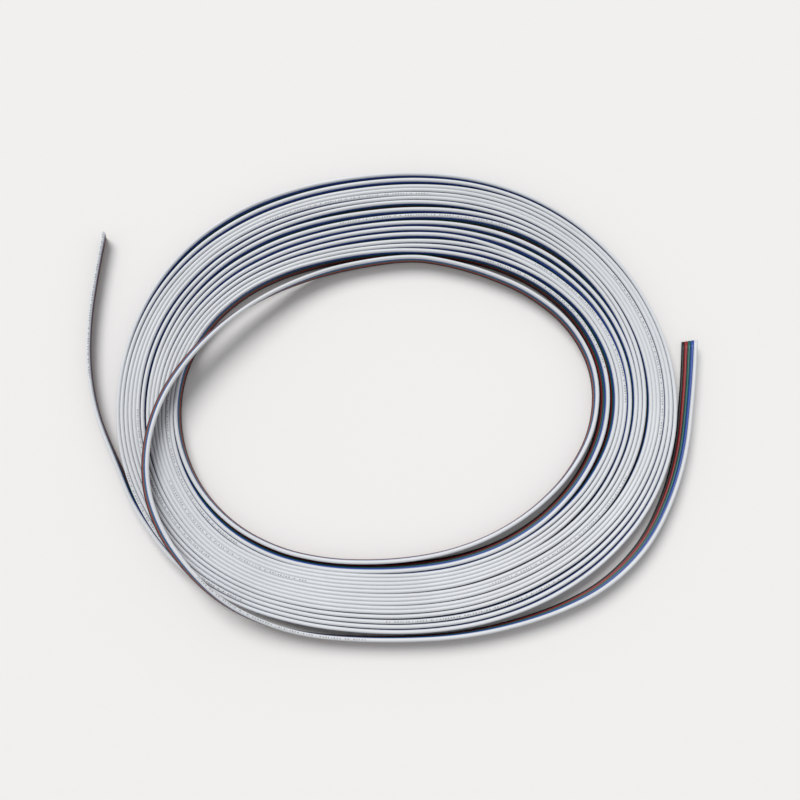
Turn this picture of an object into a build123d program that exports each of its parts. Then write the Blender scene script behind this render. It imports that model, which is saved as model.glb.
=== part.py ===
from build123d import *
from math import cos, sin, tan, radians
import os

os.makedirs("parts", exist_ok=True)

# A ten metre lead of flat ribbon cable lying in a loose oval coil. Five insulated wires are bonded
# side by side, and the ribbon stands on edge: black on the surface, white on top.
# Millimetres, +Z up, Z = 0 is the surface it lies on, the origin is the middle of the cable's box.

# one wire
wire_pitch = 1.6  # one wire's share of the ribbon's width, and a turn's share of the coil
jacket_od = 1.5  # the round jacket, a bond line less than the pitch
core_od = 0.76  # 17 strands of 0.16 mm
core_slip = 0.04  # radial gap between the copper and its jacket

# the ribbon, from its lower edge to its upper edge
wire_names = ["black", "red", "green", "blue", "white"]
middle_wire = (len(wire_names) - 1) / 2

# The middle lines of the coil's outermost and innermost turns, in polar form about the origin:
# a mean radius, and lobes of (count, swing, angle of the crest). Then where the cable's free end
# leaves that turn, and how far it splays away from it there, both in degrees.
outer_turn = {
    "radius": 109.3,
    "lobes": [(1, 2.8, 57), (2, 10.1, 2), (3, 0.7, -20), (4, 1.0, -44), (5, 0.7, -5)],
    "exit": 203.0,
    "splay": -2.0,
}
inner_turn = {
    "radius": 76.5,
    "lobes": [(1, 3.3, -130), (2, 12.3, 6), (3, 0.4, 8), (4, 1.4, 4), (5, 0.7, 11)],
    "exit": 92.0,
    "splay": 9.0,
}
edge_points = 36  # points that shape one edge of the coil
exit_run = 18.0  # straight run of a free end where it meets the coil

# The free ends: x, y, the height of the ribbon's lowest edge, and its roll, which is the angle of
# the white edge from straight up, positive away from the coil.
# The outer end leaves the coil's outside at the near left and runs back along its left side.
outer_end_route = [
    (-126.1, 74.4, 0.0, -12),
    (-128.9, 54.0, 0.0, -12),
    (-130.6, 33.5, 0.0, -12),
    (-129.8, 13.5, 0.0, -10),
    (-125.0, -7.0, 0.0, -6),
]

# The inner end leaves the hole's far side, climbs, crosses the coil's left side, comes down outside
# it at the near left and runs round the near and right sides, falling outwards as it goes.
inner_end_route = [
    (-38.5, 53.2, 2.4, -6),
    (-55.0, 44.4, 6.8, -14),
    (-70.5, 33.0, 10.6, -22),
    (-85.0, 18.5, 11.6, -28),
    (-96.5, 0.5, 11.6, -28),
    (-101.8, -18.5, 11.6, -28),
    (-101.4, -38.0, 11.6, -28),
    (-94.5, -56.0, 11.6, -26),
    (-82.8, -71.6, 11.6, -21),
    (-68.6, -84.6, 8.6, -13),
    (-52.0, -93.0, 3.8, -7),
    (-34.5, -97.7, 0.8, 0),
    (-15.0, -99.3, 0.0, 4),
    (6.0, -99.4, 0.0, 7),
    (28.0, -98.1, 0.0, 10),
    (49.5, -93.9, 0.0, 13),
    (70.5, -87.2, 0.0, 16),
    (89.6, -77.4, 0.0, 20),
    (106.2, -61.6, 0.0, 24),
    (117.0, -41.8, 0.0, 28),
    (123.6, -21.6, 0.0, 31),
    (126.6, -1.4, 0.0, 33),
    (128.4, 13.0, 0.0, 36),
    (129.6, 26.3, 0.0, 39),
]

# the share of its shorter run that an arc takes at each corner of a route
arc_share = 0.45


def turn_point(turn, angle):
    """A point of a turn's middle line, at an angle in degrees about the origin."""
    swings = [swing * cos(radians(n * (angle - crest))) for n, swing, crest in turn["lobes"]]
    radius = turn["radius"] + sum(swings)
    return Vector(radius * cos(radians(angle)), radius * sin(radians(angle)))


def turn_heading(turn, angle):
    """Direction of the wire along a turn, anticlockwise seen from above."""
    return (turn_point(turn, angle + 0.5) - turn_point(turn, angle - 0.5)).normalized()


def exit_heading(turn):
    """Direction of the free end where it meets its turn."""
    return turn_heading(turn, turn["exit"]).rotate(Axis.Z, turn["splay"])


def to_the_right(heading):
    """Level direction square to a heading, away from the coil."""
    return Vector(heading.Y, -heading.X)


def coil_edge(turn):
    """One edge of the wound coil: a full turn of spiral, from outside the wire to inside it."""
    points = []
    for i in range(edge_points + 1):
        angle = turn["exit"] + 360 * i / edge_points
        at_exit = i in (0, edge_points)
        heading = exit_heading(turn) if at_exit else turn_heading(turn, angle)
        beyond = wire_pitch * (0.5 - i / edge_points)
        points.append(turn_point(turn, angle) + to_the_right(heading) * beyond)
    return points


def wire_points(route, wire):
    """The route of one wire: the ribbon's middle line, stepped across its width."""
    points = []
    for i, (x, y, lift, roll) in enumerate(route):
        before, after = route[max(i - 1, 0)], route[min(i + 1, len(route) - 1)]
        heading = Vector(after[0] - before[0], after[1] - before[1]).normalized()
        up, outwards = Vector(0, 0, cos(radians(roll))), to_the_right(heading) * sin(radians(roll))
        middle = Vector(x, y, lift + wire_pitch / 2) + up * (middle_wire * wire_pitch)
        points.append(middle + (up + outwards) * ((wire - middle_wire) * wire_pitch))
    return points


def arc_radii(points):
    """The largest arc that the two runs at each corner allow."""
    radii = []
    for a, b, c in zip(points, points[1:], points[2:]):
        turn = (b - a).get_angle(c - b)
        radii.append(arc_share * min((b - a).length, (c - b).length) / tan(radians(turn / 2)))
    return radii


# Each free end meets the coil square to the step in the coil's edge, level and upright.
outer_meeting = turn_point(outer_turn, outer_turn["exit"])
outer_approach = outer_meeting - exit_heading(outer_turn) * exit_run
inner_meeting = turn_point(inner_turn, inner_turn["exit"])
inner_approach = inner_meeting + exit_heading(inner_turn) * exit_run
free_ends = {
    "outer_end": outer_end_route + [(p.X, p.Y, 0.0, 0) for p in (outer_approach, outer_meeting)],
    "inner_end": [(p.X, p.Y, 0.0, 0) for p in (inner_meeting, inner_approach)] + inner_end_route,
}

# One layer of the coil for each wire: all of its wound turns as one closed ring.
for level, wire_name in enumerate(wire_names):
    with BuildPart() as coil_layer:
        with BuildSketch(Plane.XY.offset(level * wire_pitch)):
            for turn, mode in [(outer_turn, Mode.ADD), (inner_turn, Mode.SUBTRACT)]:
                edge = coil_edge(turn)
                with BuildLine():
                    Spline(*edge)
                    Line(edge[-1], edge[0])
                make_face(mode=mode)
        extrude(amount=wire_pitch)
    coil_layer.part.label = f"{wire_name}_coil"
    export_step(coil_layer.part, f"parts/{wire_name}_coil.step")

# The two free ends of each wire: a jacket, and the copper core inside it.
jacket_bore = core_od + 2 * core_slip
for end_name, route in free_ends.items():
    for wire, wire_name in enumerate(wire_names):
        points = wire_points(route, wire)
        radii = arc_radii(points)
        start = Plane(origin=points[0], z_dir=points[1] - points[0])

        with BuildPart() as jacket:
            with BuildLine() as wire_path:
                FilletPolyline(*points, radius=radii)
            with BuildSketch(start):
                Circle(jacket_od / 2)
                Circle(jacket_bore / 2, mode=Mode.SUBTRACT)
            sweep(path=wire_path.wire())
        jacket.part.label = f"{wire_name}_jacket_{end_name}"
        export_step(jacket.part, f"parts/{wire_name}_jacket_{end_name}.step")

        with BuildPart() as core:
            with BuildLine() as wire_path:
                FilletPolyline(*points, radius=radii)
            with BuildSketch(start):
                Circle(core_od / 2)
            sweep(path=wire_path.wire())
        core.part.label = f"{wire_name}_core_{end_name}"
        export_step(core.part, f"parts/{wire_name}_core_{end_name}.step")

        length = wire_path.wire().length
        section = radians(180) * (jacket_od**2 - jacket_bore**2) / 4
        print(f"{wire_name} {end_name}: arcs of {min(radii):.0f} mm and more, {length:.1f} mm long,")
        print(f"  volume over section times length {jacket.part.volume / (section * length):.4f}")
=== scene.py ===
import math

import bpy
import numpy as np
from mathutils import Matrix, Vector


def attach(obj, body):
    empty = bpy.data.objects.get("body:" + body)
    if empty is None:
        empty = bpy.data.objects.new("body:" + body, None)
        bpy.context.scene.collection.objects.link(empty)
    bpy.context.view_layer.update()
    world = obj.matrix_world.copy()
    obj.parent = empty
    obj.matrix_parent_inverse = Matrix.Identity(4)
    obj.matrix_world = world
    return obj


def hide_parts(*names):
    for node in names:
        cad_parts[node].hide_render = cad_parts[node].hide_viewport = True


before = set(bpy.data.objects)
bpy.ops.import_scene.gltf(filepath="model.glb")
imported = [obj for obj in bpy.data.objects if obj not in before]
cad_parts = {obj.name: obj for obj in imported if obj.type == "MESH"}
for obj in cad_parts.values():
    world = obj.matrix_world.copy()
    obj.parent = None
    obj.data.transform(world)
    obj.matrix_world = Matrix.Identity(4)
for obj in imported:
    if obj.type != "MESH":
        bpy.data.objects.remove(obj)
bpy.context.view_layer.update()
print("frame loaded:", len(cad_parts), "nodes")

# The camera looks down at the coil from its near side.
view = {
    "elevation": 80.0,  # degrees above the table
    "distance": 0.430,
    "aim": (0.00035, -0.00225, 0.004),
    "lens": 45.3,
    "shift": (0.01125, 0.0075),
}


def addCamera(v):
    camera = bpy.data.objects.new("camera", bpy.data.cameras.new("camera"))
    tilt = math.radians(v["elevation"])
    x, y, z = v["aim"]
    camera.location = (x, y - v["distance"] * math.cos(tilt), z + v["distance"] * math.sin(tilt))
    camera.rotation_euler = (math.radians(90) - tilt, 0, 0)
    camera.data.lens = v["lens"]
    camera.data.shift_x, camera.data.shift_y = v["shift"]
    camera.data.clip_start = 0.01
    bpy.context.collection.objects.link(camera)
    bpy.context.scene.camera = camera


addCamera(view)
print("camera placed")

# The flat cable: five wires bonded side by side, standing on edge. All lengths are in metres.
cable = {
    "wires": ["black", "red", "green", "blue", "white"],  # bottom to top
    "pitch": 0.0016,  # from one wire's middle to the next
    "diameter": 0.0016,
    "bulge": 0.00082,  # a jacket's radius before its neighbours flatten it
    "coreRadius": 0.00041,
    "length": 10.0,
    "sides": 14,  # facets round a jacket
    "steps": 8,  # rings from one point of the route to the next
    "cutShare": 0.9,  # a cut face against the whole section: its rim is slightly rounded
}
topWire = len(cable["wires"]) - 1

# The wound coil. An outline is a mean radius and lobes of (count, swing, crest angle in degrees).
coil = {
    "outer": (
        0.1093,
        [(1, 0.0028, 57), (2, 0.0101, 2), (3, 0.0007, -20), (4, 0.0010, -44), (5, 0.0007, -5)],
    ),
    "inner": (
        0.0765,
        [(1, 0.0033, -130), (2, 0.0123, 6), (3, 0.0004, 8), (4, 0.0014, 4), (5, 0.0007, 11)],
    ),
    "turns": 16,
    "perTurn": 24,  # points of the route in one turn
    "start": 203,  # where the outer end joins the outermost turn, in degrees
    "finish": 92,  # where the inner end leaves the innermost turn
    "handover": 5,  # degrees left clear there for the first point of the inner end
    "closest": 0.00157,  # from one turn to the next where they press together
    "ease": 17,  # degrees over which one place's spacing runs into the next one's
    "fullWidth": 0.0255,  # all turns side by side and touching
    "wander": 4.0,  # degrees that the lean drifts along the cable, where there is room
    "waves": [(0.37, 0), (1.71, 1), (2.63, 0)],  # the drift's swings a radian, and their phase
    # Eight places round the coil: how far the outermost turn lies inside the outline, and then
    # from each turn to the next one in, in millimetres.
    "spacing": {
        225: (-0.2, [1.8, 1.6, 1.7, 1.7, 1.5, 1.5, 1.5, 1.5, 1.5, 1.5, 1.5, 2.5, 2.1, 1.9, 3.6]),
        270: (-0.5, [1.9, 1.9, 1.8, 1.6, 1.5, 1.5, 1.5, 1.5, 1.5, 1.5, 1.5, 2.4, 2.1, 2.5, 3.8]),
        315: (0.5, [2.6, 2.6, 1.7, 1.6, 1.7, 1.9, 1.8, 1.7, 1.7, 1.7, 2.8, 1.8, 2.0, 1.9, 6.8]),
        360: (-0.6, [1.7, 1.6, 1.6, 1.6, 2.0, 1.6, 3.0, 1.6, 1.7, 2.7, 2.0, 1.6, 1.7, 4.2, 4.3]),
        405: (0.2, [2.1, 1.6, 1.7, 1.6, 1.9, 2.4, 1.6, 1.9, 4.4, 3.3, 2.1, 2.8, 2.6, 3.2, 6.0]),
        450: (0.0, [2.9, 3.3, 1.6, 1.8, 1.9, 1.8, 3.7, 3.2, 2.8, 2.6, 2.8, 3.2, 2.0, 1.8, 2.0]),
        495: (1.9, [3.5, 2.0, 1.8, 1.7, 2.7, 2.5, 2.1, 3.4, 2.5, 3.1, 2.2, 2.2, 1.6, 1.8]),
        540: (0.2, [1.5, 1.5, 1.5, 1.5, 1.5, 3.0, 2.7, 1.5, 1.5, 1.5, 1.9, 1.7, 1.6, 1.5]),
    },
    # How far the turns lean outwards at the same places, in degrees, at a few of the turns.
    "leans": {
        225: [(0, 10), (3, 4), (5, 0), (10, 0), (11, 8), (12, 12), (14, 18), (15, 5)],
        270: [(0, 16), (2, 8), (4, 0), (10, 0), (11, 9), (12, 16), (14, 27), (15, 6)],
        315: [(0, 22), (1, 18), (3, 0), (10, 0), (11, 8), (14, 22), (15, 4)],
        360: [(0, 6), (3, 0), (6, 0), (7, 10), (9, 2), (10, 16), (13, 8), (14, 18), (15, 3)],
        405: [(0, 2), (5, 0), (9, 12), (10, 20), (11, 6), (12, 14), (14, 4), (15, 0)],
        450: [(0, 8), (1, 12), (2, 0), (6, 0), (7, 14), (8, 2), (9, 20), (10, 6), (12, 10), (15, 0)],
        495: [(0, 8), (1, 10), (2, 0), (5, 4), (8, 12), (9, 22), (10, 8), (12, 4), (14, 3)],
        540: [(0, 5), (4, 0), (5, 6), (7, 0), (9, 3), (14, 4)],
    },
}

# The free ends: x, y, the height of the lowest edge, and how far the white edge leans away from the
# coil in degrees. The outer end starts at its cut and runs to the outermost turn.
outerEnd = [
    (-0.1261, 0.0744, 0.0, -12),
    (-0.1289, 0.0540, 0.0, -12),
    (-0.1306, 0.0335, 0.0, -12),
    (-0.1298, 0.0135, 0.0, -10),
    (-0.1250, -0.0070, 0.0, -6),
    (-0.1146, -0.0287, 0.0, 0),
]
# The inner end leaves the hole, climbs over the coil's left side and runs round its outside.
innerEnd = [
    (-0.0198, 0.0597, 0.0, 0),
    (-0.0385, 0.0532, 0.0020, -6),
    (-0.0550, 0.0444, 0.0055, -14),
    (-0.0705, 0.0330, 0.0080, -22),
    (-0.0850, 0.0185, 0.0086, -28),
    (-0.0965, 0.0005, 0.0086, -28),
    (-0.1018, -0.0185, 0.0086, -28),
    (-0.1014, -0.0380, 0.0086, -28),
    (-0.0945, -0.0560, 0.0086, -26),
    (-0.0828, -0.0716, 0.0084, -21),
    (-0.0686, -0.0846, 0.0066, -13),
    (-0.0520, -0.0930, 0.0030, -7),
    (-0.0345, -0.0977, 0.0006, 0),
    (-0.0150, -0.0993, 0.0, 4),
    (0.0060, -0.0994, 0.0, 7),
    (0.0280, -0.0981, 0.0, 10),
    (0.0495, -0.0939, 0.0, 13),
    (0.0705, -0.0872, 0.0, 16),
    (0.0896, -0.0774, 0.0, 20),
    (0.1062, -0.0616, 0.0, 24),
    (0.1170, -0.0418, 0.0, 28),
    (0.1236, -0.0216, 0.0, 31),
    (0.1266, -0.0014, 0.0, 33),
    (0.1284, 0.0130, 0.0, 36),
    (0.1296, 0.0263, 0.0, 39),
]


# An outline's radius is its mean plus, for each lobe, the swing times the cosine of count times the
# angle from the crest.
def outlineRadius(outline, degrees):
    mean, lobes = outline
    swings = [swing * np.cos(np.radians(n * (degrees - crest))) for n, swing, crest in lobes]
    return mean + sum(swings)


# A quantity that is known at a few angles along the winding is read off straight lines between them,
# averaged over a window of angles so that it has no corners.
def eased(along, knots, values, window, samples=9):
    offsets = np.linspace(-window, window, samples)
    weights = np.cos(offsets / window * math.pi / 2) ** 2
    reads = [w * np.interp(along + o, knots, values) for o, w in zip(offsets, weights)]
    return np.sum(reads, axis=0) / weights.sum()


# The winding is a spiral: at each angle its radius is the outer outline's, less a share of the coil's
# width there. Each turn then gives way inwards where it would cut into the turn outside it, at its
# white edge or at its black one. The smooth line runs a little inside its points, by a quarter of
# one less the cosine of a step, so the radius is that much more.
def windingRoute(c, pitch):
    width = {a: outlineRadius(c["outer"], a) - outlineRadius(c["inner"], a) for a in c["spacing"]}
    knots, shares, leans = [], [], []
    for turn in range(c["turns"]):
        for place, (edge, gaps) in c["spacing"].items():
            if turn > len(gaps):
                continue
            depths = np.cumsum([edge] + gaps)
            knots.append(place + 360 * turn)
            shares.append(depths[turn] / 1000 / width[place])
            leans.append(np.interp(turn, *zip(*c["leans"][place])))
    end = c["finish"] + 360 * c["turns"]
    along = np.arange(c["start"], end - c["handover"], 360 / c["perTurn"])
    turned = np.radians(along)
    lean = np.radians(eased(along, knots, leans, c["ease"]))
    outer, inner = outlineRadius(c["outer"], along), outlineRadius(c["inner"], along)
    depth = (outer - inner) * eased(along, knots, shares, c["ease"])
    room = np.clip((outer - inner) / c["fullWidth"] - 1, 0, 1)
    drift = sum(np.sin(turned * pace + phase) for pace, phase in c["waves"])
    lean += np.radians(c["wander"]) * room * drift
    foot = topWire * pitch * np.sin(lean)  # how far the black edge lies inside the white one
    n = c["perTurn"]
    for i in range(n, len(along)):
        before = i - n
        byFoot = depth[before] + foot[before] + c["closest"] - foot[i]
        depth[i] = max(depth[i], depth[before] + c["closest"], byFoot)
    radius = (outer - depth - foot / 2) * (1 + (1 - math.cos(2 * math.pi / n)) / 4)
    x, y = radius * np.cos(turned), radius * np.sin(turned)
    return np.stack([x, y, 0 * radius, np.degrees(lean)], 1)


# A wire's point is the cable's, stepped along the cable's width: up by the cosine of the lean and
# away from the coil by its sine, one pitch for each wire.
def wirePoints(route, wire, c):
    heading = np.gradient(route[:, :2], axis=0)
    heading /= np.linalg.norm(heading, axis=1)[:, None]
    lean = np.radians(route[:, 3])
    outwards = np.stack([heading[:, 1], -heading[:, 0]], 1)
    aside = outwards * (np.sin(lean) * (wire - topWire / 2) * c["pitch"])[:, None]
    height = route[:, 2] + c["diameter"] / 2 + np.cos(lean) * wire * c["pitch"]
    return np.column_stack([route[:, :2] + aside, height])


# The ring centres are read from the smooth NURBS line through the wire's route.
def smoothLine(points, steps):
    curve = bpy.data.curves.new("line", "CURVE")
    curve.dimensions = "3D"
    spline = curve.splines.new("NURBS")
    spline.points.add(len(points) - 1)
    spline.points.foreach_set("co", np.column_stack([points, np.ones(len(points))]).ravel())
    spline.order_u = 3
    spline.use_endpoint_u = True
    spline.resolution_u = steps
    holder = bpy.data.objects.new("line", curve)
    bpy.context.collection.objects.link(holder)
    mesh = bpy.data.meshes.new_from_object(holder)
    line = np.empty(len(mesh.vertices) * 3)
    mesh.vertices.foreach_get("co", line)
    bpy.data.objects.remove(holder)
    bpy.data.meshes.remove(mesh)
    return line.reshape(-1, 3)


route = np.vstack([outerEnd, windingRoute(coil, cable["pitch"]), innerEnd])
lines = [smoothLine(wirePoints(route, k, cable), cable["steps"]) for k in range(topWire + 1)]
print("route:", len(route), "points,", len(lines[0]), "rings a wire")


# Rows of points become a closed skin: each row is a loop, joined to the next by quads, and the first
# and last rows are filled. UV runs along the rows in metres and once round them.
def skin(name, rows, measure):
    count, around = rows.shape[:2]
    index = np.arange(count * around).reshape(count, around)
    beside = np.roll(index, -1, axis=1)
    quads = np.stack([index[:-1], beside[:-1], beside[1:], index[1:]], -1).reshape(-1, 4)
    faces = quads.tolist() + [index[0, ::-1].tolist(), index[-1].tolist()]
    mesh = bpy.data.meshes.new(name)
    mesh.from_pydata(rows.reshape(-1, 3).tolist(), [], faces)
    along = np.stack([measure[:-1], measure[:-1], measure[1:], measure[1:]], -1)
    u = np.repeat(along[:, None], around, axis=1)
    turn = np.arange(around) / around
    v = np.stack([turn, turn + 1 / around, turn + 1 / around, turn], -1)
    uv = np.zeros((len(mesh.loops), 2))
    uv[: quads.size] = np.stack([u, np.broadcast_to(v, u.shape)], -1).reshape(-1, 2)
    mesh.uv_layers.new(name="length").data.foreach_set("uv", uv.ravel())
    mesh.polygons.foreach_set("use_smooth", [True] * len(mesh.polygons))
    mesh.update()
    return mesh


# The directions square to a wire: up is towards the next wire of the cable, and side is square to up
# and to the way that the wire runs.
def squareTo(line, below, above):
    run = np.gradient(line, axis=0)
    run /= np.linalg.norm(run, axis=1)[:, None]
    up = above - below
    up -= run * np.sum(up * run, axis=1)[:, None]
    up /= np.linalg.norm(up, axis=1)[:, None]
    return run, np.cross(run, up), up


# A jacket's section is a circle, cut off flat half a pitch from the middle where a wire is bonded to
# it. The rows start inside the bore at one cut end, come out to the rim, run along the wire and go
# into the bore again at the other.
def jacketRows(line, side, up, wire, c):
    angle = (np.arange(c["sides"]) + 0.5) / c["sides"] * 2 * math.pi
    x, y = c["bulge"] * np.cos(angle), c["bulge"] * np.sin(angle)
    if wire > 0:
        y = np.maximum(y, -c["pitch"] / 2)
    if wire < topWire:
        y = np.minimum(y, c["pitch"] / 2)
    boreX, boreY = c["coreRadius"] * np.cos(angle), c["coreRadius"] * np.sin(angle)
    last = len(line) - 1
    places = [2, 1, 0, 0, *range(last + 1), last, last, last - 1, last - 2]
    rim = c["cutShare"]
    share = np.array([0, 0, 0, rim, *[1] * (last + 1), rim, 0, 0, 0])[:, None]
    sectionX = boreX + (x - boreX) * share
    sectionY = boreY + (y - boreY) * share
    across, upwards = side[places][:, None], up[places][:, None]
    rows = line[places][:, None] + sectionX[..., None] * across + sectionY[..., None] * upwards
    steps = np.linalg.norm(np.diff(line[places], axis=0), axis=1)
    return rows, np.concatenate([[0], np.cumsum(steps)])


# Seventeen copper strands: one, six and ten round it, laid as a helix, each a thin round rod.
strands = {
    "radius": 0.000078,
    "rings": [(1, 0.0), (6, 0.00016), (10, 0.00031)],  # how many, and how far out they lie
    "layLength": 0.012,  # one full twist
    "proud": 0.00022,  # the most that a strand stands out of the cut
    "sides": 6,
}


# A strand's middle turns about the wire's, once in each lay length, on the circle of its ring.
def strandRows(line, run, side, up, s, seed):
    rng = np.random.default_rng(seed)
    around = np.arange(s["sides"]) / s["sides"] * 2 * math.pi
    pieces = []
    for back, places in ((-1, [0, 1, 2]), (1, [-1, -2, -3])):
        steps = np.linalg.norm(np.diff(line[places], axis=0), axis=1)
        far = np.concatenate([[0], np.cumsum(steps)])
        for count, out in s["rings"]:
            for n in range(count):
                turned = (2 * math.pi * (n / count + far / s["layLength"]))[:, None]
                aside = np.cos(turned) * side[places] + np.sin(turned) * up[places]
                middle = line[places] + out * aside
                middle[0] += run[places[0]] * back * s["proud"] * rng.uniform(0.1, 1.0)
                across = np.cos(around)[:, None] * side[places][:, None]
                upwards = np.sin(around)[:, None] * up[places][:, None]
                rows = middle[:, None] + s["radius"] * (across + upwards)
                pieces.append(rows if back < 0 else rows[:, ::-1])
    return pieces


# The strands of both cut ends as one mesh of separate rods, each closed at its two ends.
def strandMesh(name, pieces):
    points = np.stack(pieces)
    index = np.arange(points[..., 0].size).reshape(points.shape[:3])
    beside = np.roll(index, -1, axis=2)
    corners = [index[:, :-1], index[:, 1:], beside[:, 1:], beside[:, :-1]]
    quads = np.stack(corners, -1).reshape(-1, 4)
    faces = quads.tolist() + index[:, 0].tolist() + index[:, -1, ::-1].tolist()
    mesh = bpy.data.meshes.new(name)
    mesh.from_pydata(points.reshape(-1, 3).tolist(), [], faces)
    return mesh


# Shader maths written as ordinary sums: a socket, with the operators that the materials use.
class Value:
    def __init__(self, shader, socket):
        self.shader, self.socket = shader, socket

    def math(self, operation, *others):
        return self.shader.node("ShaderNodeMath", {"operation": operation}, [self, *others])

    def __add__(self, other):
        return self.math("ADD", other)

    def __sub__(self, other):
        return self.math("SUBTRACT", other)

    def __rsub__(self, other):
        return self.shader.node("ShaderNodeMath", {"operation": "SUBTRACT"}, [other, self])

    def __mul__(self, other):
        return self.math("MULTIPLY", other)

    def __mod__(self, other):
        return self.math("WRAP", other, 0.0)

    def __lt__(self, other):
        return self.math("LESS_THAN", other)

    def __gt__(self, other):
        return self.math("GREATER_THAN", other)

    __radd__, __rmul__ = __add__, __mul__


class Shader:
    def __init__(self, name):
        self.material = bpy.data.materials.new(name)
        self.material.use_nodes = True
        self.tree = self.material.node_tree
        self.principled = self.tree.nodes["Principled BSDF"]

    # One node: its type, its settings, what goes into its sockets by place or by name, and which
    # output is wanted.
    def node(self, kind, settings=None, inputs=None, output=0):
        made = self.tree.nodes.new(kind)
        for key, value in (settings or {}).items():
            setattr(made, key, value)
        pairs = enumerate(inputs) if isinstance(inputs, list) else (inputs or {}).items()
        for key, value in pairs:
            self.put(made.inputs[key], value)
        return Value(self, made.outputs[output])

    def put(self, socket, value):
        if isinstance(value, Value):
            self.tree.links.new(value.socket, socket)
        else:
            socket.default_value = value

    # A share of one colour mixed into another: sockets 6 and 7 of the Mix node are its colours.
    def mixed(self, share, one, other):
        sockets = {0: share, 6: one, 7: other}
        return self.node("ShaderNodeMix", {"data_type": "RGBA"}, sockets, output=2)

    def noise(self, place, scale, detail):
        sockets = {"Vector": place, "Scale": scale, "Detail": detail}
        return self.node("ShaderNodeTexNoise", None, sockets)

    def bump(self, height, strength, distance):
        sockets = {"Height": height, "Strength": strength, "Distance": distance}
        return self.node("ShaderNodeBump", None, sockets)

    def finish(self, **inputs):
        for name, value in inputs.items():
            self.put(self.principled.inputs[name.replace("_", " ")], value)
        return self.material


# Satin PVC: the colour drifts a little along the wire, with a faint bloom of dust, and the surface
# has fine lines drawn along it by the die. The white wire also has rows of small grey dashes.
pvc = {
    "white": {"color": (0.72, 0.745, 0.775), "worn": (0.62, 0.635, 0.66), "roughness": 0.42},
    "blue": {"color": (0.020, 0.070, 0.34), "worn": (0.045, 0.10, 0.36), "roughness": 0.36},
    "green": {"color": (0.008, 0.105, 0.088), "worn": (0.025, 0.13, 0.11), "roughness": 0.36},
    "red": {"color": (0.30, 0.018, 0.020), "worn": (0.30, 0.04, 0.04), "roughness": 0.36},
    "black": {"color": (0.008, 0.007, 0.008), "worn": (0.02, 0.018, 0.02), "roughness": 0.42},
}
jacketFinish = {
    "drift": (45.0, 3.0),  # scale and detail of the slow change of colour
    "grain": (1800.0, 2.0),
    "drawn": (60.0, 34.0, 1.0),  # die lines: coarse along the wire, fine round it
    "bump": (0.18, 0.00006),  # strength and depth
}
dashes = {
    "color": (0.20, 0.20, 0.21, 1),
    "every": 0.81,  # metres of wire from one row of dashes to the next
    "run": 0.075,
    "letter": 0.00115,
    "ink": 0.0007,
    "words": (160.0, 0.44),  # scale, and how much of the row is blank
    "band": (0.19, 0.29),  # where round the wire, in turns
    "strength": 0.75,
}


def pvcMaterial(name, p, f, d):
    s = Shader(name + "_pvc")
    place = s.node("ShaderNodeTexCoord", output="Object")
    drift = s.noise(place, *f["drift"])
    grain = s.noise(place, *f["grain"])
    uv = s.node("ShaderNodeUVMap", {"uv_map": "length"})
    drawn = s.node("ShaderNodeMapping", None, {"Vector": uv, "Scale": f["drawn"]})
    lines = s.noise(drawn, 1.0, 2.0)
    worn = (drift - 0.35) * 1.2 + (grain - 0.5) * 0.25
    color = s.mixed(worn, (*p["color"], 1), (*p["worn"], 1))
    if name == "white":
        along = s.node("ShaderNodeSeparateXYZ", None, [uv])
        aroundWire = s.node("ShaderNodeSeparateXYZ", None, [uv], output=1)
        inRun = (along % d["every"]) < d["run"]
        scale, blank = d["words"]
        word = {"W": along * scale, "Detail": 0.0}
        inWord = s.node("ShaderNodeTexNoise", {"noise_dimensions": "1D"}, word) > blank
        inDash = (along % d["letter"]) < d["ink"]
        low, high = d["band"]
        onTop = (aroundWire > low) * (aroundWire < high)
        color = s.mixed(inRun * inWord * inDash * onTop * d["strength"], color, d["color"])
    rough = drift * 0.14 + grain * 0.08 + (p["roughness"] - 0.11)
    bump = s.bump(lines + grain * 0.6, *f["bump"])
    return s.finish(Base_Color=color, Roughness=rough, Normal=bump)


copperFinish = {
    "clean": (0.80, 0.42, 0.26, 1),
    "dull": (0.50, 0.22, 0.12, 1),
    "stain": (900.0, 3.0),  # scale and detail
    "bump": (0.2, 0.00002),  # strength and depth
}


def copperMaterial(f):
    s = Shader("copper")
    place = s.node("ShaderNodeTexCoord", output="Object")
    stain = s.noise(place, *f["stain"])
    color = s.mixed(stain, f["clean"], f["dull"])
    bump = s.bump(stain, *f["bump"])
    return s.finish(Base_Color=color, Roughness=stain * 0.2 + 0.22, Metallic=1.0, Normal=bump)


def addPiece(mesh, material):
    piece = bpy.data.objects.new(mesh.name, mesh)
    bpy.context.collection.objects.link(piece)
    mesh.materials.append(material)
    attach(piece, "root")
    return piece


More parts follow.
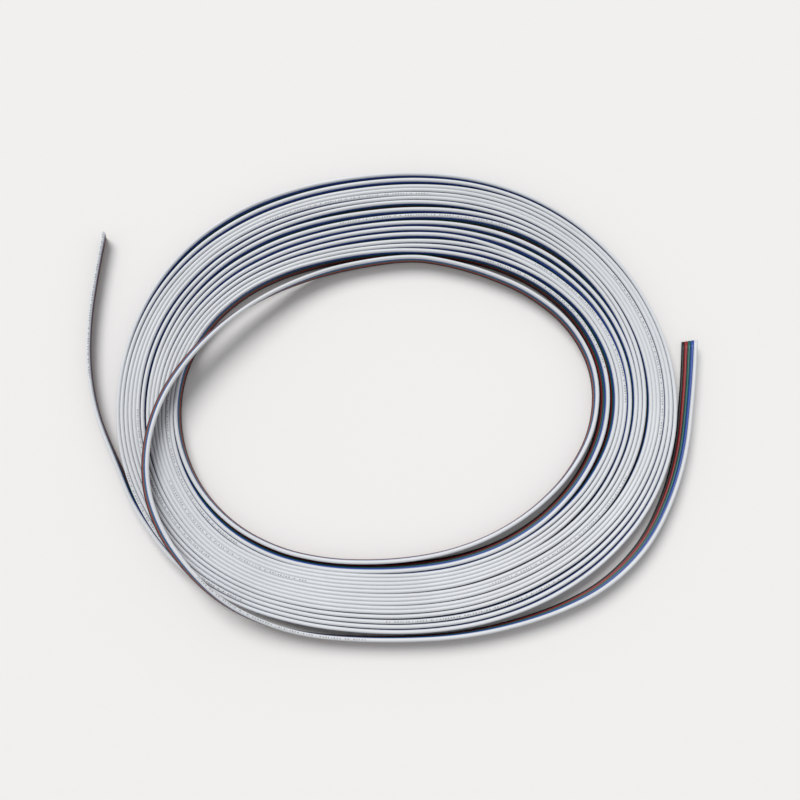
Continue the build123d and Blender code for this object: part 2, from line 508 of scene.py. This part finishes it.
copper = copperMaterial(copperFinish)
for wire, color in enumerate(cable["wires"]):
    line = lines[wire]
    below, above = lines[max(wire - 1, 0)], lines[min(wire + 1, topWire)]
    run, side, up = squareTo(line, below, above)
    rows, measure = jacketRows(line, side, up, wire, cable)
    plastic = pvcMaterial(color, pvc[color], jacketFinish, dashes)
    jacket = addPiece(skin(color + "_wire", rows, measure), plastic)

    bundle = strandRows(line, run, side, up, strands, wire)
    core = addPiece(strandMesh(color + "_strands", bundle), copper)

    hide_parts(color + "_coil", color + "_jacket_outer_end", color + "_jacket_inner_end")
    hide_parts(color + "_core_outer_end", color + "_core_inner_end")
    metres = np.linalg.norm(np.diff(line, axis=0), axis=1).sum()
    print(color, "wire:", round(float(metres), 3), "m")

# A pale table, one broad soft light from the far left and an even surround.
studio = {
    "tableReach": 9,  # metres each way
    "table": (0.90, 0.89, 0.875, 1),
    "fibre": (0.82, 0.81, 0.79, 1),
    "lightFrom": (-0.40, 0.75, 1.20),
    "lightStrength": 2.15,
    "lightWidth": 34,  # degrees of sky that it fills
    "surround": 0.42,  # what the surround lights with
    "surroundSeen": 0.8,  # how bright it is where the camera sees it
}


def addStudio(s):
    mesh = bpy.data.meshes.new("table")
    r = s["tableReach"]
    mesh.from_pydata([(-r, -r, 0), (r, -r, 0), (r, r, 0), (-r, r, 0)], [], [(0, 1, 2, 3)])
    table = bpy.data.objects.new("table", mesh)
    bpy.context.collection.objects.link(table)
    paper = Shader("paper")
    place = paper.node("ShaderNodeTexCoord", output="Object")
    fibre = paper.noise(place, 300.0, 4.0)
    color = paper.mixed(fibre * 0.06, s["table"], s["fibre"])
    mesh.materials.append(paper.finish(Base_Color=color, Roughness=0.9))
    lamp = bpy.data.objects.new("light", bpy.data.lights.new("light", "SUN"))
    lamp.data.energy, lamp.data.angle = s["lightStrength"], math.radians(s["lightWidth"])
    lamp.rotation_euler = Vector(s["lightFrom"]).to_track_quat("Z", "Y").to_euler()
    bpy.context.collection.objects.link(lamp)
    world = bpy.data.worlds.new("surround")
    world.use_nodes = True
    tree = world.node_tree
    background, seen = tree.nodes["Background"], tree.nodes.new("ShaderNodeLightPath")
    strength = tree.nodes.new("ShaderNodeMapRange")
    tree.links.new(seen.outputs["Is Camera Ray"], strength.inputs["Value"])
    strength.inputs["To Min"].default_value = s["surround"]
    strength.inputs["To Max"].default_value = s["surroundSeen"]
    tree.links.new(strength.outputs["Result"], background.inputs["Strength"])
    background.inputs["Color"].default_value = (1, 1, 1, 1)
    bpy.context.scene.world = world
    bpy.context.scene.view_settings.view_transform = "Standard"


addStudio(studio)
print("studio lit")
